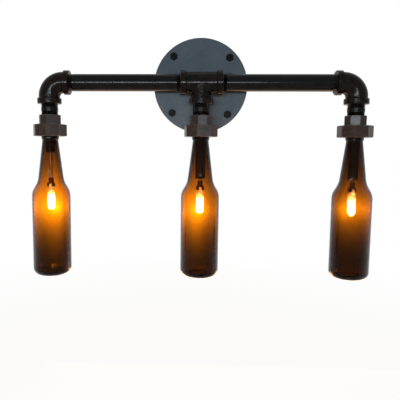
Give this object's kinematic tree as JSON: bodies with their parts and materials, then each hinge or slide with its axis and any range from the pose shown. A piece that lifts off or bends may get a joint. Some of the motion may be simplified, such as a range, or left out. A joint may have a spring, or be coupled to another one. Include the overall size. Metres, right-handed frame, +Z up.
{
  "type": "pipe wall light",
  "caption": "Wall light of black pipe and fittings on a round backplate, with amber bottle shades hung from octagonal union nuts and capsule lamps inside.",
  "frame": {"origin": "centre of the backplate's back face, on the wall", "axes": "+X to the right as the light is seen on the wall, along the pipes; +Y into the wall; +Z up"},
  "size_m": [0.5428, 0.102, 0.3842],
  "materials": {
    "plate_paint": "satin slate-grey paint",
    "screw_finish": "black, worn on the edges",
    "black_pipe": "black lacquered steel pipe, satin, duller on the threads",
    "black_fitting": "black malleable iron, semi-gloss, as cast",
    "union_iron": "oiled brown-black malleable iron, worn bright on the edges",
    "nut_iron": "oiled brown-black malleable iron, worn bright on the edges",
    "amber_glass": "clear amber bottle glass",
    "gasket": "soft black rubber",
    "collar_metal": "turned",
    "stem_metal": "plain",
    "sleeve": "dark woven heat sleeve, stiffened",
    "ceramic": "dark brown unglazed ceramic",
    "lamp_glass": "clear quartz",
    "pin_metal": "bright wire",
    "filament_wire": "tungsten coil",
    "lead_insulation": "black heat-proof insulation"
  },
  "bodies": {
    "pipe_frame": {"wall_plate": "plate_paint", "plate_screws": "screw_finish", "side_outlet_tee": "black_fitting", "arm_pipe_left": "black_pipe", "arm_pipe_right": "black_pipe", "rear_nipple": "black_pipe", "elbow_left": "black_fitting", "elbow_right": "black_fitting", "drop_nipple_left": "black_pipe", "union_body_left": "union_iron", "stem_disc_left": "stem_metal", "stem_tube_left": "stem_metal", "stem_nut_left": "stem_metal", "heat_sleeve_left": "sleeve", "lamp_holder_left": "ceramic", "lamp_leads_left": "lead_insulation", "drop_nipple_centre": "black_pipe", "union_body_centre": "union_iron", "stem_disc_centre": "stem_metal", "stem_tube_centre": "stem_metal", "stem_nut_centre": "stem_metal", "heat_sleeve_centre": "sleeve", "lamp_holder_centre": "ceramic", "lamp_leads_centre": "lead_insulation", "drop_nipple_right": "black_pipe", "union_body_right": "union_iron", "stem_disc_right": "stem_metal", "stem_tube_right": "stem_metal", "stem_nut_right": "stem_metal", "heat_sleeve_right": "sleeve", "lamp_holder_right": "ceramic", "lamp_leads_right": "lead_insulation"},
    "bottle_left_assembly": {"bottle_left": "amber_glass", "split_collar_left": "collar_metal", "rim_gasket_left": "gasket"},
    "union_nut_left_body": {"union_nut_left": "nut_iron"},
    "lamp_left": {"lamp_capsule_left": "lamp_glass", "lamp_pins_left": "pin_metal", "lamp_filament_left": "filament_wire"},
    "bottle_centre_assembly": {"bottle_centre": "amber_glass", "split_collar_centre": "collar_metal", "rim_gasket_centre": "gasket"},
    "union_nut_centre_body": {"union_nut_centre": "nut_iron"},
    "lamp_centre": {"lamp_capsule_centre": "lamp_glass", "lamp_pins_centre": "pin_metal", "lamp_filament_centre": "filament_wire"},
    "bottle_right_assembly": {"bottle_right": "amber_glass", "split_collar_right": "collar_metal", "rim_gasket_right": "gasket"},
    "union_nut_right_body": {"union_nut_right": "nut_iron"},
    "lamp_right": {"lamp_capsule_right": "lamp_glass", "lamp_pins_right": "pin_metal", "lamp_filament_right": "filament_wire"}
  },
  "joints": [
    {"name": "bottle_lower_left", "type": "slide", "parent": "pipe_frame", "child": "bottle_left_assembly", "axis": [0, 0, -1], "range_m": [0, 0.00924]},
    {"name": "union_nut_turn_left", "type": "hinge", "parent": "bottle_left_assembly", "child": "union_nut_left_body", "pos_m": [-0.2408, -0.03975, -0.075], "axis": [0, 0, -1], "range_deg": [0, 1440]},
    {"name": "lamp_pull_left", "type": "slide", "parent": "pipe_frame", "child": "lamp_left", "axis": [0, 0, -1], "range_m": [0, 0.008]},
    {"name": "bottle_lower_centre", "type": "slide", "parent": "pipe_frame", "child": "bottle_centre_assembly", "axis": [0, 0, -1], "range_m": [0, 0.00924]},
    {"name": "union_nut_turn_centre", "type": "hinge", "parent": "bottle_centre_assembly", "child": "union_nut_centre_body", "pos_m": [0, -0.03975, -0.075], "axis": [0, 0, -1], "range_deg": [0, 1440]},
    {"name": "lamp_pull_centre", "type": "slide", "parent": "pipe_frame", "child": "lamp_centre", "axis": [0, 0, -1], "range_m": [0, 0.008]},
    {"name": "bottle_lower_right", "type": "slide", "parent": "pipe_frame", "child": "bottle_right_assembly", "axis": [0, 0, -1], "range_m": [0, 0.00924]},
    {"name": "union_nut_turn_right", "type": "hinge", "parent": "bottle_right_assembly", "child": "union_nut_right_body", "pos_m": [0.2408, -0.03975, -0.075], "axis": [0, 0, -1], "range_deg": [0, 1440]},
    {"name": "lamp_pull_right", "type": "slide", "parent": "pipe_frame", "child": "lamp_right", "axis": [0, 0, -1], "range_m": [0, 0.008]}
  ],
  "couplings": [
    {"joint": "bottle_lower_left", "follows": "union_nut_turn_left", "m_per_rad": 0.0003675},
    {"joint": "bottle_lower_centre", "follows": "union_nut_turn_centre", "m_per_rad": 0.0003675},
    {"joint": "bottle_lower_right", "follows": "union_nut_turn_right", "m_per_rad": 0.0003675}
  ]
}
